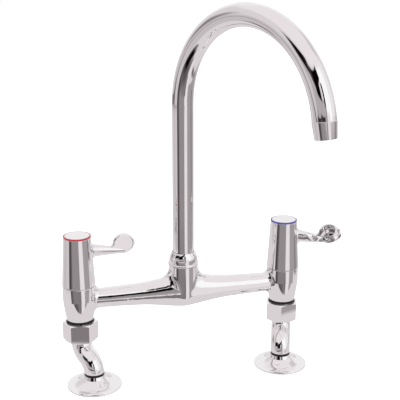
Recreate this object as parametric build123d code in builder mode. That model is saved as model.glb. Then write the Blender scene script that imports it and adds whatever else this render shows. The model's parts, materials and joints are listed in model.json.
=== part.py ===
"""Two-hole deck-mounted bridge sink mixer with a swan-neck swivel spout, in millimetres.

The origin lies on the deck, midway between the two tap holes. +X runs along the bridge from
the hot valve to the cold valve, -Y faces the user and +Z is up. The deck surface is Z = 0.
"""
from build123d import *

import os
from math import atan2, cos, degrees, exp, radians, sin, sqrt

# ---------------------------------------------------------------- layout in plan
TAIL_PITCH = 180.0  # centre to centre of the two tails
CRANK = 20.0  # sideways offset of each leg between union and tail
HOT_LEG_TURN = 27.1  # crank of the hot leg, from straight forward towards the middle
COLD_LEG_TURN = 19.5  # the same on the cold leg
SPOUT_TURN = -63.4  # direction of the spout, from +X
LEVER_TURNS = {"hot": 7.7, "cold": -19.6}  # direction of each closed lever, from +X

# ---------------------------------------------------------------- clearances
THREAD_CLEARANCE = 0.05  # radial, between plain stand-ins of mating threads
RUNNING_CLEARANCE = 0.05  # radial, spindle in its housing and tube ends in their sockets
TURNING_CLEARANCE = 0.3  # radial, between parts that turn past each other
FACE_CLEARANCE = 0.05  # axial, between faces that slide or clamp on each other
LOOSE_CLEARANCE = 0.1  # radial, between pieces that are only located
EDGE_ROUNDING = 0.4  # on visible rims
CUT_MARGIN = 1.0  # how far a cut reaches past the surface it breaks
HALF_HEX = 30.0  # degrees from a flat of a hexagon to its corner

# ---------------------------------------------------------------- feet, tails and legs
FLANGE_RADIUS = 25.2
FLANGE_HEIGHT = 8.0
FLANGE_RIM = 1.3
FLANGE_RIM_STEP = 0.6
FLANGE_TOP_WALL = 2.0
FLANGE_NECK_RADIUS = 11.0
FLANGE_WAIST = (15.8, 3.9)  # radius and height where the bell is most hollow
FLANGE_WALL = 1.1
DECK_WASHER_RADIUS = 18.4
DECK_WASHER_THICKNESS = 1.3
TAIL_RADIUS = 10.4775  # half of the G1/2 major diameter, 20.955
TAIL_TOP = 4.0
TAIL_DEPTH = 60.0
TAIL_BORE_RADIUS = 6.5
TAIL_SOCKET_DEPTH = 7.0
TAIL_RELIEF_RADIUS = 9.6
TAIL_RELIEF_HEIGHT = 1.5
DECK_THICKNESS = 20.0  # clamped between flange and backnut
HAT_RADIUS = 13.0
HAT_HEIGHT = 7.0
HAT_BRIM_RADIUS = 17.5
HAT_BRIM_THICKNESS = 2.5
BACKNUT_FLATS = 30.0
BACKNUT_HEIGHT = 8.0
LEG_RADIUS = 9.2
LEG_BORE_RADIUS = 6.3
LEG_BASE_RADIUS = 10.5
LEG_BASE_HEIGHT = 2.8
LEG_BASE_TOP_RADIUS = 9.4
LEG_SPIGOT_RADIUS = 8.2
BEND_HEIGHT = 28.6
LEG_COLLAR_HEIGHT = 2.45

# ---------------------------------------------------------------- union nuts
NUT_FLATS = 28.4
NUT_HEIGHT = 17.7
NUT_LIP = 3.0
NUT_CHAMFER = 1.2
NUT_CHAMFER_SLOPE = 0.5  # axial rise of the corner chamfer per radial millimetre
NUT_STANDOFF = 0.2
NUT_TURNS = {"hot": -98.8, "cold": -79.1}  # direction in which a flat of each nut faces
UNION_THREAD_RADIUS = 12.0
UNION_WASHER_THICKNESS = 1.5
SHOULDER_STANDOFF = 0.3  # above the nut
SHOULDER_RADIUS = 13.0  # coned shoulder that ends the thread
SHOULDER_HEIGHT = 1.6
GROOVE_HEIGHT = 1.1  # neck between the shoulder and the valve body
GROOVE_RADIUS = 11.9

# ---------------------------------------------------------------- bridge casting
BODY_RADIUS = 15.0
BODY_FOOT_RADIUS = 12.3
BODY_HEIGHT = 32.5
BODY_TAPER_HEIGHT = 19.5
BODY_TAPER_BULGE = 13.95  # radius half way up the taper
ARM_RISE = 18.0  # arm axis above the valve body's foot
ARM_END_RADIUS = 8.5
ARM_ROOT_RADIUS = 11.4  # of the plain taper, at the boss's axis
ARM_SWELL = (1.5, 4.4)  # added there to the half width and to the half height
ARM_SWELL_REACH = 26.0  # distance from the boss's axis over which the swell fades
ARM_STATIONS = 17
ARM_BORE_RADIUS = 4.6
BOSS_RADIUS = 13.5
BOSS_HEIGHT = 25.6  # boss top above the arm axis
BOSS_BLEND = 12.0
BELLY_DROP = 2.2  # centre of the boss's dome below the arm axis
BODY_BLEND = 6.0
NECK_RADIUS = 11.6
NECK_HEIGHT = 5.0
SEAT_RISE = 3.6
CAVITY_RADIUS = 10.4
CHAMBER_RADIUS = 11.9
CHAMBER_HALF_HEIGHT = 5.4

# ---------------------------------------------------------------- ceramic cartridges
SEAL_RADIUS = 8.8
SEAL_THICKNESS = 2.6
FIXED_DISC_THICKNESS = 3.4
MOVING_DISC_THICKNESS = 3.2
PORT_RADIUS = 4.2
PORT_WIDTH = 3.8
PORT_ANGLE = 30.0
DRIVER_WIDTH = 3.6
DRIVER_LENGTH = 13.0
DRIVER_ENGAGEMENT = 1.4
DRIVER_HEIGHT = 3.2
STEM_RADIUS = 3.4
WINDOW_WIDTH = 9.0
WINDOW_HEIGHT = 7.4
HOUSING_WALL = 1.4
LEDGE_RISE = 7.2  # inner ledge of the housing above the arm axis
SPINDLE_COLLAR_RADIUS = 8.0
SPINDLE_COLLAR_HEIGHT = 2.4
SPINDLE_RADIUS = 5.0
HOUSING_SHOULDER_RADIUS = 12.2
HOUSING_SHOULDER_HEIGHT = 2.6
HOUSING_HEX_FLATS = 17.0
HOUSING_HEX_HEIGHT = 6.0
HOUSING_GUIDE_RADIUS = 6.8
HOUSING_GUIDE_HEIGHT = 7.0
O_RING_CLEARANCE = 0.03  # radial, between an O-ring and the bore it seals against
O_RING_SECTION = 0.5
O_RING_SPACING = 6.0
O_RING_GROOVE_DEPTH = 2.0  # times the section's radius
O_RING_GROOVE_WIDTH = 2.2  # times the section's radius
CLIP_RADIUS = 6.2
CLIP_GROOVE_RADIUS = 3.5
CLIP_THICKNESS = 0.8
CLIP_MOUTH = 4.9
SPLINE_RADIUS = 4.2
SPLINE_LENGTH = 11.6

# ---------------------------------------------------------------- handles
HANDLE_SEAM = 0.4
HANDLE_HEIGHT = 45.7
HANDLE_FOOT_RADIUS = 15.2
HANDLE_TOP_RADIUS = 12.5
HANDLE_WALL = 2.1
HUB_RADIUS = 6.6
WEB_THICKNESS = 3.3
SCREW_RADIUS = 2.0
SCREW_HEAD_RADIUS = 3.4
SCREW_HEAD_HEIGHT = 2.4
SCREW_LENGTH = 12.0
SCREW_SOCKET_FLATS = 2.5
RING_WIDTH = 1.1
RING_THICKNESS = 1.2
CAP_THICKNESS = 1.3
CAP_CROWN = 0.8
CAP_SKIRT_DEPTH = 6.0
CAP_WALL = 1.1
LEVER_RISE = 4.05  # lever axis above the underside of the web
LEVER_ROOT = (5.4, 6.9)  # half width and half height beside the cone
LEVER_NECK = (3.4, 4.1)
LEVER_NECK_REACH = 31.0
LEVER_NECK_DROP = 3.2  # neck's axis below the lever axis at the root
KEEL_TIP = (1.9, 2.2)
KEEL_TIP_REACH = 46.0
KEEL_TIP_DROP = 5.1  # keel's end below the lever axis at the root
HEEL_REACH = 24.0  # where the web under the paddle's heel leaves the bar
HEEL_RISE = 1.2
HEEL_SWEEP = ((30.2, 0.6), (33.3, 2.8), (35.4, 6.6))  # reach and rise along the heel's hollow
PADDLE_REACH = 42.8  # middle of the paddle, from the valve axis
PADDLE_RISE = 1.9  # middle of the paddle above the lever axis
PADDLE_HALF_WIDTH = 9.9
PADDLE_HALF_HEIGHT = 9.7
PADDLE_THICKNESS = 4.2
PADDLE_EDGE = 1.4
LEVER_BLEND = 3.0
LIP_OVERHANG = 1.9
LIP_DROP = 0.8
LIP_SETBACK = 0.5
LIP_THICKNESS = 2.2
LIP_EDGE = 0.7

# ---------------------------------------------------------------- spout
TUBE_RADIUS = 9.8
TUBE_WALL = 1.2
STEM_HEIGHT = 151.6  # boss top to the start of the arch
ARCH_RADIUS = 83.3
ARCH_ANGLE = 170.4
NOZZLE_LENGTH = 14.0
NOZZLE_TOP_RADIUS = 10.1
NOZZLE_MOUTH_RADIUS = 8.9
NOZZLE_SPIGOT_LENGTH = 3.0
NOZZLE_INLET_RADIUS = 7.0
NOZZLE_INLET_DEPTH = 7.0
NOZZLE_BORE_RADIUS = 7.4
NOZZLE_LIP_HEIGHT = 1.2
NOZZLE_LIP = 0.5
STRAIGHTENER_THICKNESS = 4.0
STRAIGHTENER_HOLE_RADIUS = 1.0
STRAIGHTENER_RING_RADII = (2.5, 5.1)
STRAIGHTENER_RING_HOLES = (6, 12)
SPIGOT_RADIUS = 10.1
SPIGOT_BORE_RADIUS = 7.0
SPIGOT_LENGTH = 18.5  # below the top of the boss's neck
SPIGOT_FLANGE_HEIGHT = 2.0
SPIGOT_STUB_HEIGHT = 8.0
SPOUT_O_RING_SECTION = 0.9
SPOUT_O_RING_DROPS = (6.0, 13.0)  # below the top of the boss's neck
BEARING_RING_THICKNESS = 0.8
COLLAR_SEAM = 0.2
COLLAR_BEAD_HEIGHT = 2.6
COLLAR_BEAD_RADIUS = 14.5
COLLAR_GROOVE_RADIUS = 12.9
COLLAR_GROOVE_HEIGHT = 0.4
COLLAR_RADIUS = 13.2
COLLAR_STRAIGHT = 0.8  # straight side between the bead and the dome
COLLAR_DOME_HEIGHT = 9.1
COLLAR_TOP_RADIUS = 10.5

# ---------------------------------------------------------------- plan, worked out
hot_turn, cold_turn = radians(HOT_LEG_TURN), radians(COLD_LEG_TURN)
body_pitch = sqrt(TAIL_PITCH**2 - (CRANK * (cos(hot_turn) - cos(cold_turn))) ** 2) + CRANK * (
    sin(hot_turn) + sin(cold_turn)
)
spout_x = CRANK * (sin(cold_turn) - sin(hot_turn)) / 2
bridge_y = CRANK * (cos(hot_turn) + cos(cold_turn)) / 2
half_pitch = body_pitch / 2
valve_x = {"hot": spout_x - half_pitch, "cold": spout_x + half_pitch}
leg_direction = {"hot": HOT_LEG_TURN - 90, "cold": -90 - COLD_LEG_TURN}
SIDES = ("hot", "cold")


def tail_centre(side):
    """Plan position of a tail, at the foot of its cranked leg."""
    turn = radians(leg_direction[side])
    return valve_x[side] + CRANK * cos(turn), bridge_y + CRANK * sin(turn)


# ---------------------------------------------------------------- heights, from the deck up
bend_bottom = FLANGE_HEIGHT + LEG_BASE_HEIGHT
bend_top = bend_bottom + BEND_HEIGHT
nut_bottom = bend_top + NUT_STANDOFF
nut_top = nut_bottom + NUT_HEIGHT
collar_bottom = nut_bottom + NUT_LIP + FACE_CLEARANCE
collar_top = collar_bottom + LEG_COLLAR_HEIGHT
body_bottom = collar_top + UNION_WASHER_THICKNESS
shoulder_z = nut_top + SHOULDER_STANDOFF
groove_bottom = shoulder_z + SHOULDER_HEIGHT
body_foot = groove_bottom + GROOVE_HEIGHT
body_top = body_foot + BODY_HEIGHT
seat_z = body_foot + SEAT_RISE
arm_z = body_foot + ARM_RISE
boss_top = arm_z + BOSS_HEIGHT
neck_top = boss_top + NECK_HEIGHT
fixed_disc_z = seat_z + SEAL_THICKNESS
moving_disc_z = fixed_disc_z + FIXED_DISC_THICKNESS + FACE_CLEARANCE
driver_z = moving_disc_z + MOVING_DISC_THICKNESS - DRIVER_ENGAGEMENT + FACE_CLEARANCE
ledge_z = arm_z + LEDGE_RISE
housing_hex_z = body_top + HOUSING_SHOULDER_HEIGHT
guide_z = housing_hex_z + HOUSING_HEX_HEIGHT
housing_top = guide_z + HOUSING_GUIDE_HEIGHT
clip_z = housing_top + FACE_CLEARANCE
spline_z = clip_z + CLIP_THICKNESS + 2 * FACE_CLEARANCE
spindle_top = spline_z + SPLINE_LENGTH
handle_bottom = body_top + HANDLE_SEAM
handle_top = handle_bottom + HANDLE_HEIGHT
web_bottom = spindle_top + TURNING_CLEARANCE
web_top = web_bottom + WEB_THICKNESS
lever_z = web_bottom + LEVER_RISE
neck_z = lever_z - LEVER_NECK_DROP
flange_z = neck_top + BEARING_RING_THICKNESS
tube_bottom = flange_z + SPIGOT_FLANGE_HEIGHT
arch_z = boss_top + STEM_HEIGHT
backnut_top = -DECK_THICKNESS - HAT_BRIM_THICKNESS
relief_top = backnut_top - BACKNUT_HEIGHT - FACE_CLEARANCE
guide_middle = (ledge_z + housing_top) / 2
o_ring_heights = (guide_middle - O_RING_SPACING / 2, guide_middle + O_RING_SPACING / 2)

# ---------------------------------------------------------------- radii, worked out
housing_radius = CAVITY_RADIUS - LOOSE_CLEARANCE
housing_bore = housing_radius - HOUSING_WALL
nut_bore = UNION_THREAD_RADIUS + THREAD_CLEARANCE
leg_collar_radius = nut_bore - TURNING_CLEARANCE
tube_bore = TUBE_RADIUS - TUBE_WALL
collar_bore = NECK_RADIUS + THREAD_CLEARANCE
spigot_socket_radius = SPIGOT_RADIUS + RUNNING_CLEARANCE
o_ring_radius = SPINDLE_RADIUS + RUNNING_CLEARANCE - O_RING_CLEARANCE - O_RING_SECTION
spout_o_ring_radius = spigot_socket_radius - O_RING_CLEARANCE - SPOUT_O_RING_SECTION
handle_slope = (HANDLE_FOOT_RADIUS - HANDLE_TOP_RADIUS) / HANDLE_HEIGHT
spout_o_ring_heights = [neck_top - drop for drop in SPOUT_O_RING_DROPS]
cap_recess = HANDLE_TOP_RADIUS - HANDLE_WALL
ring_bore = HANDLE_TOP_RADIUS - FACE_CLEARANCE - RING_WIDTH
washer_bore = TAIL_RADIUS + LOOSE_CLEARANCE


def handle_radius(z):
    """Outer radius of the handle's cone at a height."""
    return HANDLE_FOOT_RADIUS - handle_slope * (z - handle_bottom)


# ---------------------------------------------------------------- helpers
def upright(x, y, turn=0.0):
    """Vertical plane through the vertical line at (x, y): local x points out at turn, local y up."""
    outward = Vector(cos(radians(turn)), sin(radians(turn)), 0)
    return Plane(origin=(x, y, 0), x_dir=outward, z_dir=outward.cross(Vector(0, 0, 1)))


def level(x, y, z):
    """Horizontal plane at a height, centred on (x, y)."""
    return Plane(origin=(x, y, z))


def vertical(x, y):
    """The vertical axis through (x, y)."""
    return Axis((x, y, 0), (0, 0, 1))


def turned(x, y, outline):
    """A piece turned about the vertical axis through (x, y), from its (radius, height) outline."""
    with BuildPart() as piece:
        with BuildSketch(upright(x, y)):
            with BuildLine():
                Polyline(*outline, close=True)
            make_face()
        revolve(axis=vertical(x, y))
    return piece


def ring(x, y, inner, outer, bottom, top):
    """A plain ring about the vertical axis through (x, y)."""
    return turned(x, y, [(inner, bottom), (outer, bottom), (outer, top), (inner, top)])


def ported_disc(x, y, radius, bottom, thickness, turn):
    """A ceramic disc with two opposite curved ports."""
    with BuildPart() as disc:
        with BuildSketch(level(x, y, bottom)):
            Circle(radius)
            for port_turn in (turn, turn + 180):
                middle = CenterArc((0, 0), PORT_RADIUS, port_turn - PORT_ANGLE / 2, PORT_ANGLE)
                SlotArc(middle, PORT_WIDTH, mode=Mode.SUBTRACT)
        extrude(amount=thickness)
    return disc


def write(piece, node):
    """Name a finished piece and write its file."""
    piece.part.label = node
    export_step(piece.part, f"parts/{node}.step")


os.makedirs("parts", exist_ok=True)

# ================================================================ bridge casting
def arm_section(distance):
    """Half width and half height of the arms at a distance from the boss's axis."""
    taper = (ARM_ROOT_RADIUS - ARM_END_RADIUS) * (1 - abs(distance) / half_pitch)
    fade = exp(-((distance / ARM_SWELL_REACH) ** 2))
    return [ARM_END_RADIUS + taper + swell * fade for swell in ARM_SWELL]


with BuildPart() as bridge_body:
    # the arms, one shape along X that swells towards the boss, most of all in height
    for station in range(ARM_STATIONS):
        distance = half_pitch * (2 * station / (ARM_STATIONS - 1) - 1)
        across_arm = Plane(
            origin=(spout_x + distance, bridge_y, arm_z), x_dir=(0, 1, 0), z_dir=(1, 0, 0)
        )
        with BuildSketch(across_arm):
            Ellipse(*arm_section(distance))
    loft()
    # the boss under the spout, domed below the arms
    with BuildSketch(upright(spout_x, bridge_y)):
        with BuildLine():
            belly_z = arm_z - BELLY_DROP
            Polyline(
                (0, belly_z - BOSS_RADIUS),
                (0, boss_top),
                (BOSS_RADIUS, boss_top),
                (BOSS_RADIUS, belly_z),
            )
            RadiusArc((BOSS_RADIUS, belly_z), (0, belly_z - BOSS_RADIUS), BOSS_RADIUS)
        make_face()
    revolve(axis=vertical(spout_x, bridge_y))
    fillet(edges(Select.NEW).filter_by(GeomType.BSPLINE), BOSS_BLEND)
    # the two valve bodies: a straight drum on a curved taper
    for side in SIDES:
        with BuildSketch(upright(valve_x[side], bridge_y)):
            with BuildLine():
                Polyline(
                    (BODY_RADIUS, body_foot + BODY_TAPER_HEIGHT),
                    (BODY_RADIUS, body_top),
                    (0, body_top),
                    (0, body_foot),
                    (BODY_FOOT_RADIUS, body_foot),
                )
                ThreePointArc(
                    (BODY_FOOT_RADIUS, body_foot),
                    (BODY_TAPER_BULGE, body_foot + BODY_TAPER_HEIGHT / 2),
                    (BODY_RADIUS, body_foot + BODY_TAPER_HEIGHT),
                )
            make_face()
            fillet(vertices().group_by(Axis.Y)[-1].sort_by(Axis.X)[-1], EDGE_ROUNDING)
        revolve(axis=vertical(valve_x[side], bridge_y))
        arm_ends = edges(Select.NEW).filter_by(
            lambda edge: abs(edge.center().Z - arm_z) < ARM_END_RADIUS * 2
            and abs(edge.center().X - spout_x) < half_pitch - BODY_RADIUS / 2
        )
        fillet(arm_ends, BODY_BLEND)
    # male union thread below each valve body, its coned shoulder and the neck above that
    for side in SIDES:
        with BuildSketch(upright(valve_x[side], bridge_y)):
            with BuildLine():
                Polyline(
                    (0, body_bottom),
                    (UNION_THREAD_RADIUS, body_bottom),
                    (UNION_THREAD_RADIUS, shoulder_z),
                    (SHOULDER_RADIUS, shoulder_z),
                    (GROOVE_RADIUS, groove_bottom),
                    (GROOVE_RADIUS, body_foot),
                    (0, body_foot),
                    close=True,
                )
            make_face()
        revolve(axis=vertical(valve_x[side], bridge_y))
        # inlet waterway, cartridge cavity, wide chamber at the arm and threaded top
        with BuildSketch(upright(valve_x[side], bridge_y)):
            with BuildLine():
                Polyline(
                    (0, body_bottom),
                    (TAIL_BORE_RADIUS, body_bottom),
                    (TAIL_BORE_RADIUS, seat_z),
                    (CAVITY_RADIUS, seat_z),
                    (CAVITY_RADIUS, arm_z - CHAMBER_HALF_HEIGHT),
                    (CHAMBER_RADIUS, arm_z - CHAMBER_HALF_HEIGHT),
                    (CHAMBER_RADIUS, arm_z + CHAMBER_HALF_HEIGHT),
                    (CAVITY_RADIUS, arm_z + CHAMBER_HALF_HEIGHT),
                    (CAVITY_RADIUS, body_top),
                    (0, body_top),
                    close=True,
                )
            make_face()
        revolve(axis=vertical(valve_x[side], bridge_y), mode=Mode.SUBTRACT)
    # threaded neck for the spout's collar nut
    with BuildSketch(level(spout_x, bridge_y, boss_top)):
        Circle(NECK_RADIUS)
    extrude(amount=NECK_HEIGHT)
    # socket for the spout's spigot, open to the mixing waterway below it
    with BuildSketch(level(spout_x, bridge_y, neck_top)):
        Circle(spigot_socket_radius)
    extrude(amount=-(SPIGOT_LENGTH + LOOSE_CLEARANCE), mode=Mode.SUBTRACT)
    with BuildSketch(level(spout_x, bridge_y, arm_z)):
        Circle(SPIGOT_BORE_RADIUS)
    extrude(amount=neck_top - arm_z, mode=Mode.SUBTRACT)
    # waterway along both arms, from chamber to chamber
    with BuildSketch(Plane(origin=(valve_x["hot"], bridge_y, arm_z), z_dir=(1, 0, 0))):
        Circle(ARM_BORE_RADIUS)
    extrude(amount=body_pitch, mode=Mode.SUBTRACT)
write(bridge_body, "bridge_body")


# ================================================================ feet, tails and legs
def foot_flange(x, y):
    """Hollow bell that covers the tap hole, with a rim on the deck."""
    waist_radius, waist_height = FLANGE_WAIST
    rim_radius = FLANGE_RADIUS - FLANGE_RIM_STEP
    neck_inner = LEG_SPIGOT_RADIUS + LOOSE_CLEARANCE
    hollow_inner = TAIL_RADIUS + LOOSE_CLEARANCE
    with BuildPart() as flange:
        with BuildSketch(upright(x, y)):
            with BuildLine():
                Polyline(
                    (FLANGE_NECK_RADIUS, FLANGE_HEIGHT),
                    (neck_inner, FLANGE_HEIGHT),
                    (neck_inner, FLANGE_HEIGHT - FLANGE_TOP_WALL),
                    (hollow_inner - FLANGE_WALL, FLANGE_HEIGHT - FLANGE_TOP_WALL),
                    (hollow_inner, TAIL_TOP + LOOSE_CLEARANCE),
                    (hollow_inner + FLANGE_WALL, TAIL_TOP),
                )
                ThreePointArc(
                    (hollow_inner + FLANGE_WALL, TAIL_TOP),
                    (waist_radius, waist_height - FLANGE_WALL),
                    (rim_radius - FLANGE_WALL, 0),
                )
                Polyline(
                    (rim_radius - FLANGE_WALL, 0),
                    (FLANGE_RADIUS, 0),
                    (FLANGE_RADIUS, FLANGE_RIM),
                    (rim_radius, FLANGE_RIM),
                )
                ThreePointArc(
                    (rim_radius, FLANGE_RIM), FLANGE_WAIST, (FLANGE_NECK_RADIUS, FLANGE_HEIGHT)
                )
            make_face()
            fillet(vertices().group_by(Axis.X)[-1].sort_by(Axis.Y)[-1], EDGE_ROUNDING)
        revolve(axis=vertical(x, y))
    return flange


def cranked_leg(side):
    """Cranked tube between union and tail: collar on top, S-bend, base ring and lower spigot."""
    union_x, foot = valve_x[side], tail_centre(side)
    bend_half_turn = atan2(CRANK, BEND_HEIGHT)
    bend_radius = BEND_HEIGHT / 2 / sin(2 * bend_half_turn)
    bend_turn = degrees(2 * bend_half_turn)
    spigot_bottom = TAIL_TOP - TAIL_SOCKET_DEPTH
    with BuildPart() as leg:
        with BuildLine(upright(union_x, bridge_y, leg_direction[side])) as route:
            upper = Line((0, collar_top), (0, bend_top))
            out = JernArc(upper @ 1, upper % 1, bend_radius, bend_turn)
            back = JernArc(out @ 1, out % 1, bend_radius, -bend_turn)
            Line(back @ 1, (CRANK, spigot_bottom))
        with BuildSketch(level(union_x, bridge_y, collar_top)):
            Circle(LEG_RADIUS)
        sweep(path=route.line)
        # collar clamped by the union nut
        with BuildSketch(level(union_x, bridge_y, collar_bottom)):
            Circle(leg_collar_radius)
        extrude(amount=LEG_COLLAR_HEIGHT)
        # coned shoulder on the flange, and the tube below it turned down to the spigot
        with BuildSketch(upright(*foot)):
            with BuildLine():
                Polyline(
                    (0, FLANGE_HEIGHT),
                    (LEG_BASE_RADIUS, FLANGE_HEIGHT),
                    (LEG_BASE_TOP_RADIUS, bend_bottom),
                    (0, bend_bottom),
                    close=True,
                )
            make_face()
        revolve(axis=vertical(*foot))
        with BuildSketch(level(*foot, spigot_bottom)):
            Circle(LEG_RADIUS + CUT_MARGIN)
            Circle(LEG_SPIGOT_RADIUS, mode=Mode.SUBTRACT)
        extrude(amount=FLANGE_HEIGHT - spigot_bottom, mode=Mode.SUBTRACT)
        # waterway
        with BuildSketch(level(union_x, bridge_y, collar_top)):
            Circle(LEG_BORE_RADIUS)
        sweep(path=route.line, mode=Mode.SUBTRACT)
    return leg


def tail(x, y):
    """Hollow threaded tail with a socket for the leg and a relief below the backnut."""
    socket_radius = LEG_SPIGOT_RADIUS + RUNNING_CLEARANCE
    socket_bottom = TAIL_TOP - TAIL_SOCKET_DEPTH - FACE_CLEARANCE
    return turned(
        x,
        y,
        [
            (socket_radius, TAIL_TOP),
            (TAIL_RADIUS, TAIL_TOP),
            (TAIL_RADIUS, relief_top),
            (TAIL_RELIEF_RADIUS, relief_top),
            (TAIL_RELIEF_RADIUS, relief_top - TAIL_RELIEF_HEIGHT),
            (TAIL_RADIUS, relief_top - TAIL_RELIEF_HEIGHT),
            (TAIL_RADIUS, -TAIL_DEPTH),
            (TAIL_BORE_RADIUS, -TAIL_DEPTH),
            (TAIL_BORE_RADIUS, socket_bottom),
            (socket_radius, socket_bottom),
        ],
    )


def hex_nut(x, y, flats, bottom, height, bore, turn):
    """Hexagonal nut, one flat facing at turn, with its corners coned off at both ends."""
    with BuildPart() as nut:
        with BuildSketch(level(x, y, bottom)):
            RegularPolygon(flats / 2, 6, major_radius=False, rotation=turn + HALF_HEX)
            Circle(bore, mode=Mode.SUBTRACT)
        extrude(amount=height)
        with BuildSketch(upright(x, y)):
            reach = flats / sqrt(3) + NUT_CHAMFER
            slope = NUT_CHAMFER_SLOPE * (reach - flats / 2)
            for face_z, rise in ((bottom, slope), (bottom + height, -slope)):
                with BuildLine():
                    Polyline((flats / 2, face_z), (reach, face_z), (reach, face_z + rise), close=True)
                make_face()
        revolve(axis=vertical(x, y), mode=Mode.SUBTRACT)
    return nut


for side in SIDES:
    foot_x, foot_y = tail_centre(side)
    write(foot_flange(foot_x, foot_y), f"{side}_foot_flange")
    write(cranked_leg(side), f"{side}_cranked_leg")
    write(tail(foot_x, foot_y), f"{side}_tail")
    deck_washer = ring(
        foot_x, foot_y, washer_bore, DECK_WASHER_RADIUS, 0, DECK_WASHER_THICKNESS
    )
    write(deck_washer, f"{side}_deck_washer")
    top_hat_washer = turned(
        foot_x,
        foot_y,
        [
            (washer_bore, -DECK_THICKNESS + HAT_HEIGHT),
            (HAT_RADIUS, -DECK_THICKNESS + HAT_HEIGHT),
            (HAT_RADIUS, -DECK_THICKNESS),
            (HAT_BRIM_RADIUS, -DECK_THICKNESS),
            (HAT_BRIM_RADIUS, backnut_top),
            (washer_bore, backnut_top),
        ],
    )
    write(top_hat_washer, f"{side}_top_hat_washer")
    backnut = hex_nut(
        foot_x,
        foot_y,
        BACKNUT_FLATS,
        backnut_top - BACKNUT_HEIGHT,
        BACKNUT_HEIGHT,
        TAIL_RADIUS + THREAD_CLEARANCE,
        0,
    )
    write(backnut, f"{side}_backnut")


# ================================================================ union nuts and washers
def union_nut(x, y, turn):
    """Hexagonal union nut with an inner lip under the leg's collar."""
    with BuildPart() as nut:
        add(hex_nut(x, y, NUT_FLATS, nut_bottom, NUT_HEIGHT, nut_bore, turn).part)
        with BuildSketch(level(x, y, nut_bottom)):
            Circle(nut_bore)
            Circle(LEG_RADIUS + TURNING_CLEARANCE + LOOSE_CLEARANCE, mode=Mode.SUBTRACT)
        extrude(amount=NUT_LIP)
    return nut


for side in SIDES:
    write(union_nut(valve_x[side], bridge_y, NUT_TURNS[side]), f"{side}_union_nut")
    union_washer = ring(
        valve_x[side], bridge_y, TAIL_BORE_RADIUS, leg_collar_radius, collar_top, body_bottom
    )
    write(union_washer, f"{side}_union_washer")


# ================================================================ ceramic cartridges
def cartridge_housing(x, y):
    """Brass housing that screws into the valve body and guides the spindle."""
    with BuildPart() as housing:
        with BuildSketch(upright(x, y)):
            with BuildLine():
                Polyline(
                    (housing_bore, seat_z + FACE_CLEARANCE),
                    (housing_radius, seat_z + FACE_CLEARANCE),
                    (housing_radius, body_top),
                    (HOUSING_SHOULDER_RADIUS, body_top),
                    (HOUSING_SHOULDER_RADIUS, housing_hex_z),
                    (HOUSING_GUIDE_RADIUS, housing_hex_z),
                    (HOUSING_GUIDE_RADIUS, housing_top),
                    (SPINDLE_RADIUS + RUNNING_CLEARANCE, housing_top),
                    (SPINDLE_RADIUS + RUNNING_CLEARANCE, ledge_z),
                    (housing_bore, ledge_z),
                    close=True,
                )
            make_face()
        revolve(axis=vertical(x, y))
        with BuildSketch(level(x, y, housing_hex_z)):
            RegularPolygon(HOUSING_HEX_FLATS / 2, 6, major_radius=False)
            Circle(HOUSING_GUIDE_RADIUS, mode=Mode.SUBTRACT)
        extrude(amount=HOUSING_HEX_HEIGHT)
        # windows on both sides, in line with the arms
        with BuildSketch(Plane(origin=(x, y, arm_z), z_dir=(1, 0, 0))):
            Rectangle(WINDOW_WIDTH, WINDOW_HEIGHT)
        extrude(amount=housing_radius + CUT_MARGIN, both=True, mode=Mode.SUBTRACT)
    return housing


def spline_section(radius):
    """Eight-pointed star, drawn as two squares, for the spindle's end and the handle's socket."""
    for turn in (0, 45):
        RegularPolygon(radius, 4, rotation=turn)


def o_ring_groove(section, mode=Mode.ADD):
    """Section of a groove for an O-ring, centred on the surface it is cut into."""
    Rectangle(
        2 * O_RING_GROOVE_DEPTH * section, O_RING_GROOVE_WIDTH * section, mode=mode
    )


def spindle(x, y, turn):
    """Spindle: driver tang in the moving disc, collar under the ledge, shaft, clip groove, star."""
    driver_top = driver_z + DRIVER_HEIGHT
    with BuildPart() as shaft:
        with BuildSketch(upright(x, y)):
            with BuildLine():
                Polyline(
                    (0, driver_top),
                    (STEM_RADIUS, driver_top),
                    (STEM_RADIUS, ledge_z - FACE_CLEARANCE - SPINDLE_COLLAR_HEIGHT),
                    (SPINDLE_COLLAR_RADIUS, ledge_z - FACE_CLEARANCE - SPINDLE_COLLAR_HEIGHT),
                    (SPINDLE_COLLAR_RADIUS, ledge_z - FACE_CLEARANCE),
                    (SPINDLE_RADIUS, ledge_z - FACE_CLEARANCE),
                    (SPINDLE_RADIUS, clip_z),
                    (CLIP_GROOVE_RADIUS, clip_z),
                    (CLIP_GROOVE_RADIUS, spline_z),
                    (0, spline_z),
                    close=True,
                )
            make_face()
        revolve(axis=vertical(x, y))
        with BuildSketch(level(x, y, driver_z)):
            Rectangle(DRIVER_LENGTH, DRIVER_WIDTH, rotation=turn)
        extrude(amount=driver_top - driver_z)
        with BuildSketch(level(x, y, spline_z)):
            spline_section(SPLINE_RADIUS)
        extrude(amount=SPLINE_LENGTH)
        # grooves for the two O-rings
        with BuildSketch(upright(x, y)):
            for groove_z in o_ring_heights:
                with Locations((SPINDLE_RADIUS, groove_z)):
                    o_ring_groove(O_RING_SECTION)
        revolve(axis=vertical(x, y), mode=Mode.SUBTRACT)
        # tapped hole for the handle's screw
        with BuildSketch(level(x, y, spindle_top)):
            Circle(SCREW_RADIUS + THREAD_CLEARANCE)
        extrude(amount=-(SCREW_LENGTH - WEB_THICKNESS), mode=Mode.SUBTRACT)
    return shaft


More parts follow.
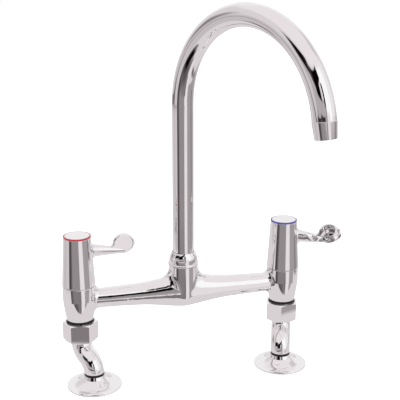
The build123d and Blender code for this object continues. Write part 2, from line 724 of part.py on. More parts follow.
def moving_disc(x, y, turn):
    """Upper ceramic disc, with a slot across its top for the spindle's driver."""
    with BuildPart() as disc:
        with BuildSketch(level(x, y, moving_disc_z)):
            Circle(SEAL_RADIUS - LOOSE_CLEARANCE)
            for port_turn in (turn + 90, turn + 270):
                middle = CenterArc((0, 0), PORT_RADIUS, port_turn - PORT_ANGLE / 2, PORT_ANGLE)
                SlotArc(middle, PORT_WIDTH, mode=Mode.SUBTRACT)
        extrude(amount=MOVING_DISC_THICKNESS)
        with BuildSketch(level(x, y, moving_disc_z + MOVING_DISC_THICKNESS)):
            Rectangle(
                DRIVER_LENGTH + 2 * LOOSE_CLEARANCE, DRIVER_WIDTH + 2 * LOOSE_CLEARANCE, rotation=turn
            )
        extrude(amount=-DRIVER_ENGAGEMENT, mode=Mode.SUBTRACT)
    return disc


def o_rings(x, y, radius, section, heights):
    """O-rings of one size on one shaft, as separate solids."""
    with BuildPart() as rings:
        with BuildSketch(upright(x, y)):
            with Locations(*[(radius, height) for height in heights]):
                Circle(section)
        revolve(axis=vertical(x, y))
    return rings


def spindle_clip(x, y, turn):
    """Open spring clip that holds the spindle in its housing."""
    with BuildPart() as clip:
        with BuildSketch(level(x, y, clip_z + FACE_CLEARANCE)):
            Circle(CLIP_RADIUS)
            Circle(CLIP_GROOVE_RADIUS + FACE_CLEARANCE, mode=Mode.SUBTRACT)
            with PolarLocations(CLIP_RADIUS, 1, start_angle=turn):
                Rectangle(2 * CLIP_RADIUS, CLIP_MOUTH, mode=Mode.SUBTRACT)
        extrude(amount=CLIP_THICKNESS)
    return clip


for side in SIDES:
    x, y = valve_x[side], bridge_y
    turn = LEVER_TURNS[side]
    write(cartridge_housing(x, y), f"{side}_cartridge_housing")
    write(ring(x, y, TAIL_BORE_RADIUS, SEAL_RADIUS, seat_z, fixed_disc_z), f"{side}_seat_seal")
    fixed_disc = ported_disc(x, y, SEAL_RADIUS, fixed_disc_z, FIXED_DISC_THICKNESS, turn)
    write(fixed_disc, f"{side}_fixed_disc")
    write(moving_disc(x, y, turn), f"{side}_moving_disc")
    write(spindle(x, y, turn), f"{side}_spindle")
    spindle_o_rings = o_rings(x, y, o_ring_radius, O_RING_SECTION, o_ring_heights)
    write(spindle_o_rings, f"{side}_spindle_o_rings")
    write(spindle_clip(x, y, turn), f"{side}_spindle_clip")


# ================================================================ lever handles
def lever_handle(side):
    """Hollow conical head with a splined hub, cast in one with its lever and paddle."""
    x, y = valve_x[side], bridge_y
    lever_plane = upright(x, y, LEVER_TURNS[side])
    outward = lever_plane.x_dir
    back = Axis((x, y, 0), lever_plane.z_dir)

    def across(reach, height):
        """Plane across the lever at a reach and a height."""
        return Plane(
            origin=lever_plane.from_local_coords((reach, height)),
            x_dir=lever_plane.z_dir,
            z_dir=outward,
        )

    # the lip that stands out behind the blade's lower tip
    with BuildPart() as lip:
        with BuildSketch(lever_plane.offset(-LIP_SETBACK)):
            with Locations((PADDLE_REACH + LIP_OVERHANG, lever_z + PADDLE_RISE - LIP_DROP)):
                Ellipse(PADDLE_HALF_WIDTH, PADDLE_HALF_HEIGHT - 2 * LIP_DROP)
        extrude(amount=-LIP_THICKNESS)
        fillet(edges().group_by(back)[0], LIP_EDGE)
    # the paddle, a rounded upright blade
    with BuildPart() as paddle:
        with BuildSketch(lever_plane.offset(-PADDLE_THICKNESS / 2)):
            with Locations((PADDLE_REACH, lever_z + PADDLE_RISE)):
                Ellipse(PADDLE_HALF_WIDTH, PADDLE_HALF_HEIGHT)
        extrude(amount=PADDLE_THICKNESS)
        fillet(edges(), PADDLE_EDGE)
        add(lip.part)
    # the web that sweeps up from the bar into the paddle's heel
    with BuildPart() as heel:
        with BuildSketch(lever_plane.offset(-PADDLE_THICKNESS / 2)):
            with BuildLine():
                foot = Line((HEEL_REACH, neck_z), (HEEL_REACH, lever_z + HEEL_RISE))
                hollow = [(reach, lever_z + rise) for reach, rise in HEEL_SWEEP]
                sweep_up = Spline(foot @ 1, *hollow, tangents=[(1, 0), (0.35, 1)])
                heel_top = sweep_up @ 1
                Polyline(heel_top, (PADDLE_REACH, heel_top.Y), (PADDLE_REACH, neck_z), foot @ 0)
            make_face()
        extrude(amount=PADDLE_THICKNESS)
        fillet(edges().filter_by(GeomType.BSPLINE), PADDLE_EDGE)
    with BuildPart() as handle:
        # the cone, solid for now
        with BuildSketch(upright(x, y)):
            with BuildLine():
                Polyline(
                    (0, handle_bottom),
                    (HANDLE_FOOT_RADIUS, handle_bottom),
                    (HANDLE_TOP_RADIUS, handle_top),
                    (0, handle_top),
                    close=True,
                )
            make_face()
            fillet(vertices().sort_by(Axis.X)[-2:], EDGE_ROUNDING)
        revolve(axis=vertical(x, y))
        # the lever, a bar that thins towards the paddle and runs on under it as a keel
        with BuildSketch(across(HUB_RADIUS, lever_z)):
            Ellipse(*LEVER_ROOT)
        with BuildSketch(across(LEVER_NECK_REACH, neck_z)):
            Ellipse(*LEVER_NECK)
        with BuildSketch(across(KEEL_TIP_REACH, lever_z - KEEL_TIP_DROP)):
            Ellipse(*KEEL_TIP)
        loft()
        fillet(edges(Select.NEW).filter_by(GeomType.BSPLINE), LEVER_BLEND)
        # hollow below the web around the hub, and the cap's recess above it
        inner_foot = HANDLE_FOOT_RADIUS - HANDLE_WALL
        inner_web = handle_radius(web_bottom) - HANDLE_WALL
        hub_bottom = spline_z + LOOSE_CLEARANCE
        with BuildSketch(upright(x, y)):
            with BuildLine():
                Polyline(
                    (0, handle_bottom),
                    (inner_foot, handle_bottom),
                    (inner_web, web_bottom),
                    (HUB_RADIUS, web_bottom),
                    (HUB_RADIUS, hub_bottom),
                    (0, hub_bottom),
                    close=True,
                )
            make_face()
            with BuildLine():
                Polyline(
                    (0, web_top), (cap_recess, web_top), (cap_recess, handle_top), (0, handle_top),
                    close=True,
                )
            make_face()
        revolve(axis=vertical(x, y), mode=Mode.SUBTRACT)
        # star socket for the spindle, and the screw's hole through the web
        with BuildSketch(level(x, y, hub_bottom)):
            spline_section(SPLINE_RADIUS + LOOSE_CLEARANCE)
        extrude(amount=web_bottom - hub_bottom, mode=Mode.SUBTRACT)
        with BuildSketch(level(x, y, web_bottom)):
            Circle(SCREW_RADIUS + LOOSE_CLEARANCE)
        extrude(amount=WEB_THICKNESS, mode=Mode.SUBTRACT)
        add(heel.part)
        add(paddle.part)
    return handle


def handle_screw(x, y):
    """Socket-head screw that holds the handle down on the spindle."""
    with BuildPart() as screw:
        with BuildSketch(level(x, y, web_top - SCREW_LENGTH)):
            Circle(SCREW_RADIUS)
        extrude(amount=SCREW_LENGTH)
        with BuildSketch(level(x, y, web_top)):
            Circle(SCREW_HEAD_RADIUS)
            RegularPolygon(SCREW_SOCKET_FLATS / 2, 6, major_radius=False, mode=Mode.SUBTRACT)
        extrude(amount=SCREW_HEAD_HEIGHT)
    return screw


def index_cap(x, y):
    """Domed cap pressed into the handle's top, with a skirt inside the recess."""
    cap_radius = ring_bore - FACE_CLEARANCE
    skirt_radius = cap_recess - FACE_CLEARANCE
    with BuildPart() as cap:
        with BuildSketch(upright(x, y)):
            with BuildLine():
                Polyline(
                    (0, handle_top + CAP_THICKNESS + CAP_CROWN),
                    (0, handle_top),
                    (skirt_radius - CAP_WALL, handle_top),
                    (skirt_radius - CAP_WALL, handle_top - CAP_SKIRT_DEPTH),
                    (skirt_radius, handle_top - CAP_SKIRT_DEPTH),
                    (skirt_radius, handle_top),
                    (cap_radius, handle_top),
                    (cap_radius, handle_top + CAP_THICKNESS),
                )
                crown = (cap_radius**2 + CAP_CROWN**2) / (2 * CAP_CROWN)
                RadiusArc(
                    (cap_radius, handle_top + CAP_THICKNESS),
                    (0, handle_top + CAP_THICKNESS + CAP_CROWN),
                    -crown,
                )
            make_face()
        revolve(axis=vertical(x, y))
    return cap


for side in SIDES:
    x, y = valve_x[side], bridge_y
    write(lever_handle(side), f"{side}_handle")
    write(handle_screw(x, y), f"{side}_handle_screw")
    index_ring = ring(
        x, y, ring_bore, ring_bore + RING_WIDTH, handle_top, handle_top + RING_THICKNESS
    )
    write(index_ring, f"{side}_index_ring")
    write(index_cap(x, y), f"{side}_index_cap")


# ================================================================ spout
spout_plane = upright(spout_x, bridge_y, SPOUT_TURN)
spout_axis = vertical(spout_x, bridge_y)

with BuildPart() as spout_tube:
    with BuildLine(spout_plane) as spout_route:
        stem = Line((0, tube_bottom), (0, arch_z))
        arch = JernArc(stem @ 1, stem % 1, ARCH_RADIUS, -ARCH_ANGLE)
        PolarLine(arch @ 1, NOZZLE_SPIGOT_LENGTH, 90 - ARCH_ANGLE)
    with BuildSketch(level(spout_x, bridge_y, tube_bottom)):
        Circle(TUBE_RADIUS)
        Circle(tube_bore, mode=Mode.SUBTRACT)
    sweep(path=spout_route.line)
write(spout_tube, "spout_tube")

# the nozzle's plane: local x is the radius, local y runs with the flow from the tube's end
nozzle_start = spout_route.line @ 1
flow = spout_route.line % 1
nozzle_plane = Plane(
    origin=nozzle_start, x_dir=flow.cross(spout_plane.z_dir), z_dir=spout_plane.z_dir
)
lip_depth = NOZZLE_LENGTH - NOZZLE_LIP_HEIGHT
with BuildPart() as spout_nozzle:
    with BuildSketch(nozzle_plane):
        with BuildLine():
            Polyline(
                (tube_bore - RUNNING_CLEARANCE, -NOZZLE_SPIGOT_LENGTH),
                (tube_bore - RUNNING_CLEARANCE, 0),
                (NOZZLE_TOP_RADIUS, 0),
                (NOZZLE_MOUTH_RADIUS, NOZZLE_LENGTH),
                (NOZZLE_BORE_RADIUS - NOZZLE_LIP, NOZZLE_LENGTH),
                (NOZZLE_BORE_RADIUS - NOZZLE_LIP, lip_depth),
                (NOZZLE_BORE_RADIUS, lip_depth),
                (NOZZLE_BORE_RADIUS, NOZZLE_INLET_DEPTH),
                (NOZZLE_INLET_RADIUS, NOZZLE_INLET_DEPTH),
                (NOZZLE_INLET_RADIUS, -NOZZLE_SPIGOT_LENGTH),
                close=True,
            )
        make_face()
        top_rim = vertices().sort_by(Axis.X)[-1]
        mouth_rim = vertices().group_by(Axis.Y)[-1].sort_by(Axis.X)[-1]
        fillet([top_rim, mouth_rim], EDGE_ROUNDING)
    revolve(axis=Axis(nozzle_start, flow))
write(spout_nozzle, "spout_nozzle")

with BuildPart() as flow_straightener:
    straightener_depth = lip_depth - FACE_CLEARANCE - STRAIGHTENER_THICKNESS
    with BuildSketch(Plane(origin=nozzle_start + flow * straightener_depth, z_dir=flow)):
        Circle(NOZZLE_BORE_RADIUS - LOOSE_CLEARANCE)
        Circle(STRAIGHTENER_HOLE_RADIUS, mode=Mode.SUBTRACT)
        for ring_radius, holes in zip(STRAIGHTENER_RING_RADII, STRAIGHTENER_RING_HOLES):
            with PolarLocations(ring_radius, holes):
                Circle(STRAIGHTENER_HOLE_RADIUS, mode=Mode.SUBTRACT)
    extrude(amount=STRAIGHTENER_THICKNESS)
write(flow_straightener, "flow_straightener")

with BuildPart() as spout_spigot:
    spigot_bottom = neck_top - SPIGOT_LENGTH
    spigot_flange_radius = NECK_RADIUS - TURNING_CLEARANCE
    stub_radius = tube_bore - RUNNING_CLEARANCE
    with BuildSketch(upright(spout_x, bridge_y)):
        with BuildLine():
            Polyline(
                (SPIGOT_BORE_RADIUS, spigot_bottom),
                (SPIGOT_RADIUS, spigot_bottom),
                (SPIGOT_RADIUS, flange_z),
                (spigot_flange_radius, flange_z),
                (spigot_flange_radius, tube_bottom),
                (stub_radius, tube_bottom),
                (stub_radius, tube_bottom + SPIGOT_STUB_HEIGHT),
                (SPIGOT_BORE_RADIUS, tube_bottom + SPIGOT_STUB_HEIGHT),
                close=True,
            )
        make_face()
        for groove_z in spout_o_ring_heights:
            with Locations((SPIGOT_RADIUS, groove_z)):
                o_ring_groove(SPOUT_O_RING_SECTION, Mode.SUBTRACT)
    revolve(axis=spout_axis)
write(spout_spigot, "spout_spigot")

spout_o_rings = o_rings(
    spout_x, bridge_y, spout_o_ring_radius, SPOUT_O_RING_SECTION, spout_o_ring_heights
)
write(spout_o_rings, "spout_o_rings")

spout_bearing_ring = ring(
    spout_x,
    bridge_y,
    SPIGOT_RADIUS + TURNING_CLEARANCE,
    NECK_RADIUS - TURNING_CLEARANCE,
    neck_top,
    flange_z,
)
write(spout_bearing_ring, "spout_bearing_ring")

with BuildPart() as spout_collar_nut:
    collar_z = boss_top + COLLAR_SEAM
    bead_top = collar_z + COLLAR_BEAD_HEIGHT
    side_bottom = bead_top + COLLAR_GROOVE_HEIGHT
    side_top = side_bottom + COLLAR_STRAIGHT
    dome_top = side_top + COLLAR_DOME_HEIGHT
    hold_down_z = tube_bottom + TURNING_CLEARANCE
    with BuildSketch(upright(spout_x, bridge_y)):
        with BuildLine():
            Line((collar_bore, collar_z), (COLLAR_GROOVE_RADIUS, collar_z))
            ThreePointArc(
                (COLLAR_GROOVE_RADIUS, collar_z),
                (COLLAR_BEAD_RADIUS, collar_z + COLLAR_BEAD_HEIGHT / 2),
                (COLLAR_GROOVE_RADIUS, bead_top),
            )
            Polyline(
                (COLLAR_GROOVE_RADIUS, bead_top),
                (COLLAR_GROOVE_RADIUS, side_bottom),
                (COLLAR_RADIUS, side_bottom),
                (COLLAR_RADIUS, side_top),
            )
            TangentArc((COLLAR_RADIUS, side_top), (COLLAR_TOP_RADIUS, dome_top), tangent=(0, 1))
            Polyline(
                (COLLAR_TOP_RADIUS, dome_top),
                (TUBE_RADIUS + TURNING_CLEARANCE, dome_top),
                (TUBE_RADIUS + TURNING_CLEARANCE, hold_down_z),
                (collar_bore, hold_down_z),
                (collar_bore, collar_z),
            )
        make_face()
    revolve(axis=spout_axis)
write(spout_collar_nut, "spout_collar_nut")
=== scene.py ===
"""Looks for the bridge sink mixer: the CAD frame with chrome, a pale studio and a camera.

Lengths are in metres unless a comment says otherwise. The frame has its origin on the deck between
the tap holes, with +X towards the cold valve, -Y towards the user and +Z up.
"""
import json
import math

import bpy
from mathutils import Matrix, Vector

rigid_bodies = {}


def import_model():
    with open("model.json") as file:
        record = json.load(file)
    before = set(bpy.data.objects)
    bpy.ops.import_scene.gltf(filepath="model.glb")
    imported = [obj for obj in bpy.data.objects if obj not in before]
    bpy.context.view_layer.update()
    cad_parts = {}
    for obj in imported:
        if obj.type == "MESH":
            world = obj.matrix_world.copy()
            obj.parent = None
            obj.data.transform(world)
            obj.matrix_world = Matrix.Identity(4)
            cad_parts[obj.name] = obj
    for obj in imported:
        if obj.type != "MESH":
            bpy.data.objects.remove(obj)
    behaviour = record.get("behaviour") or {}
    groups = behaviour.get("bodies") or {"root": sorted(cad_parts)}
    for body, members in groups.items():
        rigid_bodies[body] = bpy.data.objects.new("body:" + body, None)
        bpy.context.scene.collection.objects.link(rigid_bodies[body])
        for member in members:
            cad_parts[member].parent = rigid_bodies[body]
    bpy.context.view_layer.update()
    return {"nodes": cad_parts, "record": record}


# Blender's own starting cube, lamp and camera go first.
for leftover in list(bpy.data.objects):
    bpy.data.objects.remove(leftover)
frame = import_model()
scene = bpy.context.scene

# ---------------------------------------------------------------- camera
CAMERA_POSITION = Vector((-0.18424, -0.76059, 0.40913))
YAW, PITCH, ROLL = 0.25008, 0.29478, 0.00137  # radians: to the right, down, right edge raised
FOCAL_PIXELS = 915.458  # focal length in pixels of a frame that is FRAME_PIXELS wide
FRAME_PIXELS = 400
SENSOR_WIDTH = 36.0  # millimetres
CLIP_START, CLIP_END = 0.05, 50.0


def make_camera():
    """The photograph's camera, recovered from the object's known sizes."""
    forward = Vector(
        (math.sin(YAW) * math.cos(PITCH), math.cos(YAW) * math.cos(PITCH), -math.sin(PITCH))
    )
    level_right = forward.cross(Vector((0, 0, 1))).normalized()
    level_up = level_right.cross(forward)
    right = math.cos(ROLL) * level_right + math.sin(ROLL) * level_up
    up = math.cos(ROLL) * level_up - math.sin(ROLL) * level_right
    data = bpy.data.cameras.new("camera")
    data.sensor_width = SENSOR_WIDTH
    data.lens = FOCAL_PIXELS / FRAME_PIXELS * SENSOR_WIDTH
    data.clip_start = CLIP_START
    data.clip_end = CLIP_END
    camera = bpy.data.objects.new("camera", data)
    scene.collection.objects.link(camera)
    turn = Matrix((right, up, -forward)).transposed().to_4x4()
    camera.matrix_world = Matrix.Translation(CAMERA_POSITION) @ turn
    scene.camera = camera


# ---------------------------------------------------------------- node helpers
MIX_FIRST, MIX_SECOND, MIX_RESULT = 6, 7, 2  # places of the colour sockets of a Mix node


class Tree:
    """Small wrapper that adds and links shader nodes."""

    def __init__(self, owner):
        owner.use_nodes = True
        self.nodes = owner.node_tree.nodes
        self.links = owner.node_tree.links
        self.nodes.clear()

    def add(self, kind, **inputs):
        """A node of a kind, with its inputs set or linked by name."""
        node = self.nodes.new(kind)
        for name, value in inputs.items():
            self.plug(node.inputs[name.replace("_", " ")], value)
        return node

    def plug(self, socket, value):
        """Link a socket to another, or set its value."""
        if isinstance(value, bpy.types.NodeSocket):
            self.links.new(value, socket)
        else:
            socket.default_value = value

    def math(self, operation, *values):
        """The output of a Math node."""
        node = self.nodes.new("ShaderNodeMath")
        node.operation = operation
        for socket, value in zip(node.inputs, values):
            self.plug(socket, value)
        return node.outputs[0]

    def mix(self, factor, first, second):
        """The output of a colour Mix node."""
        node = self.nodes.new("ShaderNodeMix")
        node.data_type = "RGBA"
        self.plug(node.inputs["Factor"], factor)
        self.plug(node.inputs[MIX_FIRST], first)
        self.plug(node.inputs[MIX_SECOND], second)
        return node.outputs[MIX_RESULT]

    def join(self, kind, first, second, **inputs):
        """A Mix Shader or Add Shader node over the outputs of two others."""
        node = self.add(kind, **inputs)
        shader_sockets = [socket for socket in node.inputs if socket.type == "SHADER"]
        self.plug(shader_sockets[0], first.outputs[0])
        self.plug(shader_sockets[1], second.outputs[0])
        return node

    def ramp(self, value, low, high, to_low=0.0, to_high=1.0):
        """A smooth step from to_low at low to to_high at high."""
        node = self.nodes.new("ShaderNodeMapRange")
        node.interpolation_type = "SMOOTHSTEP"
        for socket, number in zip(node.inputs, (value, low, high, to_low, to_high)):
            self.plug(socket, number)
        return node.outputs[0]


def patch(tree, across, along, centre, half, soft, tilt=0.0):
    """Mask of a soft-edged oblong in two coordinates, rising by tilt from left to right.

    The first coordinate may be an angle in degrees, which goes on at -180 after 180.
    """
    offset = tree.math("WRAP", tree.math("SUBTRACT", across, centre[0]), 180.0, -180.0)
    rise = tree.math("SUBTRACT", along, centre[1])
    if tilt:
        rise = tree.math("SUBTRACT", rise, tree.math("MULTIPLY", offset, tilt))
    inside = []
    for value, reach, edge in ((offset, half[0], soft[0]), (rise, half[1], soft[1])):
        inside.append(
            tree.ramp(tree.math("ABSOLUTE", value), reach - edge / 2, reach + edge / 2, 1.0, 0.0)
        )
    return tree.math("MULTIPLY", *inside)


# ---------------------------------------------------------------- studio
# Greys are levels on the 0 to 255 display scale.
FULL_LEVEL = 255.0
MAUVE_SHIFT = (3.0, -3.2, -1.2)  # what red, green and blue gain at full tint
PALE_LEVEL, PALE_TINT = 235, 0.3  # panels above this level are nearly neutral

# Soft panels round the object, as (azimuth, elevation), half sizes, soft edges, level, tilt.
# Angles are in degrees. Azimuth 0 is towards the user and 90 towards +X.
PANEL_LEVEL = 216  # where there is no panel
PANELS = (
    ((0, 66), (180, 28), (2, 10), 232, 0.0),
    ((158, 20), (42, 26), (16, 12), 240, 0.0),
    ((106, 42), (20, 10), (15, 8), 203, 0.0),
    ((66, 22), (28, 20), (14, 10), 236, 0.0),
    ((24, 24), (31, 22), (5, 6), 255, 0.0),
    ((-125, 3), (11, 12), (10, 10), 135, 0.0),
    ((-45, 4), (41, 9.5), (7, 2), 174, 0.08),
    ((-69, 22), (18, 8.5), (9, 5), 12, 0.25),
    ((-50, 21), (10, 7), (8, 5), 60, 0.0),
    ((-33, 22), (15, 10), (6, 3), 6, 0.08),
    ((-17, 34), (20, 6.5), (3, 3), 6, 0.42),
    ((-37, -36), (38.5, 28), (4, 2), 143, 0.0),
    ((-33, -27), (34, 7), (6, 6), 126, 0.0),
    ((-66, -16), (12, 10), (18, 8), 74, 0.0),
    ((-93, -18), (17.5, 22), (4, 6), 203, 0.0),
    ((-116, -20), (16, 20), (8, 6), 194, 0.0),
    ((-108, -10), (42, 0.9), (12, 1), 110, 0.0),
    ((-36, -40), (26, 12), (20, 14), 85, -0.2),
    ((-53, -47), (17, 13), (13, 12), 0, -0.45),
    ((-42, -1.5), (36, 0.9), (8, 1), 6, 0.17),
    ((-27, 1.2), (18, 1.7), (4, 1.2), 8, 0.12),
    ((104, -20), (16, 18), (10, 5), 168, 0.0),
    ((65, -20), (32, 15), (5, 4), 158, 0.0),
    ((84, -15), (4.5, 9), (3, 4), 108, 0.0),
    ((68, -45), (24, 5), (10, 7), 105, 0.3),
    ((18, -28), (14, 37), (4, 4), 228, 0.0),
    ((2, 1), (6, 12), (2, 3), 150, 0.0),
    ((2, -33), (6, 12), (2, 3), 120, 0.0),
    ((2, 22), (6, 10), (2, 4), 8, 0.0),
    ((-100, -35), (17, 14), (12, 5), 194, 0.0),
    ((-137, -32), (10, 7), (10, 8), 115, 0.0),
)
WHITE = (1.0, 1.0, 1.0, 1.0)
PLAIN_LIGHT = (0.62, 0.61, 0.62, 1.0)  # the light from all round that isn't mirrored

FLOOR_REACH = 4.0
FLOOR_COLOUR = (0.9, 0.9, 0.9, 1.0)
FLOOR_GLOW = 0.95  # seen directly, so that the lit floor comes out white but keeps a shadow

# The board is the deck as the metal mirrors it, as wide to the left as to the right of X = 0.
BOARD_LEVEL = 216
BOARD_HALF_WIDTH, BOARD_FRONT, BOARD_BACK = 0.33, -0.08, 0.5
BOARD_EDGES = (0.02, 0.01)

LAMP_POSITION = (-0.9, -0.6, 1.5)
LAMP_TARGET = (0.0, 0.0, 0.1)
LAMP_POWER = 6.0  # watts
LAMP_SIZE = 1.2


def mauve(level, tint=1.0):
    """A slightly mauve grey as linear RGBA, from its level on the display scale."""

    def linear(value):
        """The sRGB curve from a display level to linear light."""
        value = min(max(value, 0.0), FULL_LEVEL) / FULL_LEVEL
        return value / 12.92 if value <= 0.04045 else ((value + 0.055) / 1.055) ** 2.4

    return tuple(linear(level + shift * tint) for shift in MAUVE_SHIFT) + (1.0,)


def paint(tree, azimuth, elevation):
    """Colour of the soft panels, each laid over the ones before it."""
    colour = mauve(PANEL_LEVEL)
    for centre, half, soft, level, tilt in PANELS:
        mask = patch(tree, azimuth, elevation, centre, half, soft, tilt)
        colour = tree.mix(mask, colour, mauve(level, PALE_TINT if level > PALE_LEVEL else 1.0))
    return colour


def make_world():
    """White behind the object; soft panels for what the metal mirrors; plain light for the rest."""
    world = bpy.data.worlds.new("studio")
    scene.world = world
    tree = Tree(world)
    direction = tree.add("ShaderNodeTexCoord").outputs["Generated"]
    parts = tree.add("ShaderNodeSeparateXYZ", Vector=direction)
    azimuth = tree.math(
        "DEGREES",
        tree.math("ARCTAN2", parts.outputs["X"], tree.math("MULTIPLY", parts.outputs["Y"], -1.0)),
    )
    elevation = tree.math("DEGREES", tree.math("ARCSINE", parts.outputs["Z"]))
    path = tree.add("ShaderNodeLightPath")
    mirrored = path.outputs["Is Glossy Ray"]
    seen = tree.mix(mirrored, PLAIN_LIGHT, paint(tree, azimuth, elevation))
    direct = tree.math(
        "MAXIMUM", path.outputs["Is Camera Ray"], path.outputs["Is Transmission Ray"]
    )
    background = tree.add("ShaderNodeBackground", Color=tree.mix(direct, seen, WHITE))
    tree.add("ShaderNodeOutputWorld", Surface=background.outputs[0])


def make_floor():
    """Pale deck at Z = 0 that hides the tails. The metal mirrors only a board of it."""
    mesh = bpy.data.meshes.new("floor")
    corners = [
        (-FLOOR_REACH, -FLOOR_REACH, 0),
        (FLOOR_REACH, -FLOOR_REACH, 0),
        (FLOOR_REACH, FLOOR_REACH, 0),
        (-FLOOR_REACH, FLOOR_REACH, 0),
    ]
    mesh.from_pydata(corners, [], [(0, 1, 2, 3)])
    floor = bpy.data.objects.new("floor", mesh)
    scene.collection.objects.link(floor)
    material = bpy.data.materials.new("floor")
    mesh.materials.append(material)
    tree = Tree(material)
    shade = tree.add("ShaderNodeBsdfDiffuse", Color=FLOOR_COLOUR)
    glow = tree.add("ShaderNodeEmission", Color=WHITE, Strength=FLOOR_GLOW)
    plain = tree.join("ShaderNodeAddShader", shade, glow)
    where = tree.add("ShaderNodeTexCoord").outputs["Object"]
    place = tree.add("ShaderNodeSeparateXYZ", Vector=where)
    centre = (0.0, (BOARD_FRONT + BOARD_BACK) / 2)
    half = (BOARD_HALF_WIDTH, (BOARD_BACK - BOARD_FRONT) / 2)
    inside = patch(tree, place.outputs["X"], place.outputs["Y"], centre, half, BOARD_EDGES)
    clear = tree.add("ShaderNodeBsdfTransparent")
    lit = tree.add("ShaderNodeEmission", Color=mauve(BOARD_LEVEL), Strength=1.0)
    board = tree.join("ShaderNodeMixShader", clear, lit, Fac=inside)
    mirrored = tree.add("ShaderNodeLightPath").outputs["Is Glossy Ray"]
    whole = tree.join("ShaderNodeMixShader", plain, board, Fac=mirrored)
    tree.add("ShaderNodeOutputMaterial", Surface=whole.outputs[0])


def make_lamp():
    """One broad soft lamp from the upper left, which the metal doesn't mirror."""
    data = bpy.data.lights.new("softbox", "AREA")
    data.energy = LAMP_POWER
    data.size = LAMP_SIZE
    lamp = bpy.data.objects.new("softbox", data)
    scene.collection.objects.link(lamp)
    lamp.location = LAMP_POSITION
    aim = Vector(LAMP_TARGET) - lamp.location
    lamp.rotation_euler = aim.to_track_quat("-Z", "Y").to_euler()
    lamp.visible_glossy = False


# ---------------------------------------------------------------- materials
# Noise scales are in features per metre, and depths are heights of bump. HAZE_RANGE and
# GRAIN_RANGE are the stretch of noise over which a roughness goes from its first to its second
# value. Pairs of colours are mixed by the noise from 0 to 1.
HAZE_SCALE, HAZE_DETAIL = 55.0, 4.0
HAZE_RANGE = (0.3, 0.75)
CHROME_COLOURS = ((0.93, 0.925, 0.928, 1.0), (0.98, 0.977, 0.978, 1.0))
CHROME_ROUGHNESS = (0.028, 0.06)
RIPPLE_SCALE, RIPPLE_DETAIL, RIPPLE_DEPTH = 38.0, 1.0, 0.00006
LEVER_SCALE, LEVER_DEPTH = 105.0, 0.0055
LEVER_START, LEVER_FADE = 0.1125, 0.006  # X where the cold lever leaves its cone, and the blend
CONE_SHARE = 0.006  # of the lever's ripple that the handle's cone keeps

# Painted shade: in these bands of heights the chrome is darkened nearly to black, standing in for
# the shadow and dark reflection in the crevices of the union joints and at the feet of the legs.
JOINT_SHADE_COLOUR = (0.035, 0.033, 0.034, 1.0)
JOINT_SHADE_FADE = 0.0003
BODY_JOINT_SHADE = (0.0578, 0.0600)  # heights of the joint above the union nuts
LEG_JOINT_SHADE = (0.0110, 0.0130)  # heights of the joint above the foot flanges

GRAIN_RANGE = (0.3, 0.7)
TURNING_SCALE, TURNING_DISTORTION, TURNING_STRENGTH = 900.0, 0.4, 0.6


def principled(name, **inputs):
    """A material with one Principled shader; returns it with its tree, shader and coordinates."""
    material = bpy.data.materials.new(name)
    tree = Tree(material)
    shader = tree.add("ShaderNodeBsdfPrincipled", **inputs)
    tree.add("ShaderNodeOutputMaterial", Surface=shader.outputs[0])
    coordinates = tree.add("ShaderNodeTexCoord").outputs["Object"]
    return material, tree, shader, coordinates


def noise(tree, coordinates, scale, detail):
    """Noise in object coordinates, about 0 to 1."""
    return tree.add("ShaderNodeTexNoise", Vector=coordinates, Scale=scale, Detail=detail).outputs[0]


def bump(tree, shader, height, depth, strength=1.0):
    """Bump of a depth from a height field that runs from 0 to 1."""
    node = tree.add("ShaderNodeBump", Height=height, Distance=depth, Strength=strength)
    tree.plug(shader.inputs["Normal"], node.outputs[0])


def chrome_material(name, joint_shade=None, lever_from=None):
    """Polished chrome plate on cast brass: nearly a mirror, with a faint ripple and buffing haze.

    The band of heights given after the name gets painted shade: there the chrome is darkened nearly
    to black, standing in for the shadow and dark reflection in a joint's crevice.
    lever_from is the X where the hand-polished lever starts, which is wavier than the turned
    shapes.
    """
    material, tree, shader, where = principled(name, Metallic=1.0)
    haze = noise(tree, where, HAZE_SCALE, HAZE_DETAIL)
    colour = tree.mix(haze, *CHROME_COLOURS)
    place = tree.add("ShaderNodeSeparateXYZ", Vector=where)
    # painted shade: the joint's crevice darkened as if shadowed and mirroring dark surroundings
    if joint_shade:
        above = tree.ramp(place.outputs["Z"], joint_shade[0] - JOINT_SHADE_FADE, joint_shade[0])
        below = tree.ramp(place.outputs["Z"], joint_shade[1], joint_shade[1] + JOINT_SHADE_FADE, 1.0, 0.0)
        colour = tree.mix(tree.math("MULTIPLY", above, below), colour, JOINT_SHADE_COLOUR)
    tree.plug(shader.inputs["Base Color"], colour)
    tree.plug(shader.inputs["Roughness"], tree.ramp(haze, *HAZE_RANGE, *CHROME_ROUGHNESS))
    if lever_from is None:
        bump(tree, shader, noise(tree, where, RIPPLE_SCALE, RIPPLE_DETAIL), RIPPLE_DEPTH)
    else:
        wavy = tree.ramp(place.outputs["X"], lever_from, lever_from + LEVER_FADE, CONE_SHARE, 1.0)
        bump(tree, shader, noise(tree, where, LEVER_SCALE, RIPPLE_DETAIL), LEVER_DEPTH, wavy)
    return material


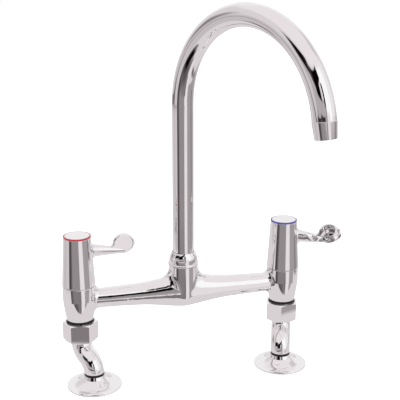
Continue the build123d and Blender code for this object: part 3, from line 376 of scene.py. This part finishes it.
def grained_material(name, grain, colours, roughness, depth, metallic=0.0, turned=False):
    """A material whose colour, and its roughness where that is a range, follow one fine noise.

    grain is the scale and detail of the noise. Turned pieces have turning marks about Z as their
    bump, the others have the noise.
    """
    material, tree, shader, where = principled(name, Metallic=metallic)
    level = noise(tree, where, *grain)
    tree.plug(shader.inputs["Base Color"], tree.mix(level, *colours))
    if isinstance(roughness, tuple):
        roughness = tree.ramp(level, *GRAIN_RANGE, *roughness)
    tree.plug(shader.inputs["Roughness"], roughness)
    if turned:
        marks = tree.add(
            "ShaderNodeTexWave", Vector=where, Scale=TURNING_SCALE, Distortion=TURNING_DISTORTION
        )
        marks.bands_direction = "Z"
        bump(tree, shader, marks.outputs["Fac"], depth, TURNING_STRENGTH)
    else:
        bump(tree, shader, level, depth)
    return material


def index_material(name, deep, light):
    """Glossy coloured plastic ring, slightly uneven in depth."""
    return grained_material(
        name, grain=(600.0, 2.0), colours=(deep, light), roughness=0.2, depth=0.00001
    )


MATERIALS = {
    "chrome": chrome_material("chrome"),
    # machined and slightly tarnished
    "brass": grained_material(
        "brass",
        grain=(90.0, 5.0),
        colours=((0.62, 0.44, 0.19, 1.0), (0.80, 0.62, 0.32, 1.0)),
        roughness=(0.22, 0.38),
        depth=0.00004,
        metallic=1.0,
        turned=True,
    ),
    # stainless, with a fine grain
    "spring_steel": grained_material(
        "steel",
        grain=(700.0, 4.0),
        colours=((0.50, 0.50, 0.51, 1.0), (0.66, 0.66, 0.66, 1.0)),
        roughness=(0.24, 0.36),
        depth=0.00002,
        metallic=1.0,
    ),
    # lapped alumina, off-white
    "ceramic": grained_material(
        "ceramic",
        grain=(1400.0, 3.0),
        colours=((0.78, 0.76, 0.70, 1.0), (0.86, 0.85, 0.80, 1.0)),
        roughness=0.18,
        depth=0.00001,
    ),
    # black and slightly bloomed
    "rubber": grained_material(
        "rubber",
        grain=(500.0, 4.0),
        colours=((0.016, 0.016, 0.017, 1.0), (0.034, 0.033, 0.033, 1.0)),
        roughness=(0.5, 0.72),
        depth=0.00003,
    ),
    # white, with a fine spark-eroded texture
    "nylon": grained_material(
        "nylon",
        grain=(1100.0, 4.0),
        colours=((0.68, 0.68, 0.65, 1.0), (0.76, 0.76, 0.74, 1.0)),
        roughness=(0.42, 0.58),
        depth=0.00002,
    ),
    "red_index": index_material("red_index", (0.40, 0.015, 0.03, 1.0), (0.56, 0.03, 0.05, 1.0)),
    "blue_index": index_material("blue_index", (0.05, 0.045, 0.30, 1.0), (0.09, 0.08, 0.42, 1.0)),
}

# Nodes whose chrome differs from the plain one of their slot: painted shade in the joints of the
# bridge and the legs, and a wavier ripple on the cold lever.
NODE_MATERIALS = {
    "bridge_body": chrome_material("chrome_bridge", joint_shade=BODY_JOINT_SHADE),
    "hot_cranked_leg": chrome_material("chrome_hot_leg", joint_shade=LEG_JOINT_SHADE),
    "cold_cranked_leg": chrome_material("chrome_cold_leg", joint_shade=LEG_JOINT_SHADE),
    "cold_handle": chrome_material("chrome_cold_lever", lever_from=LEVER_START),
}


def dress_nodes():
    """Give every CAD node its own material, or else the material of its slot."""
    for subpart in frame["record"]["subparts"]:
        mesh = frame["nodes"][subpart["node"]].data
        material = NODE_MATERIALS.get(subpart["node"], MATERIALS[subpart["material_slot"]])
        if mesh.materials:
            for index in range(len(mesh.materials)):
                mesh.materials[index] = material
        else:
            mesh.materials.append(material)


make_camera()
make_world()
make_floor()
make_lamp()
dress_nodes()

scene.view_settings.view_transform = "Standard"
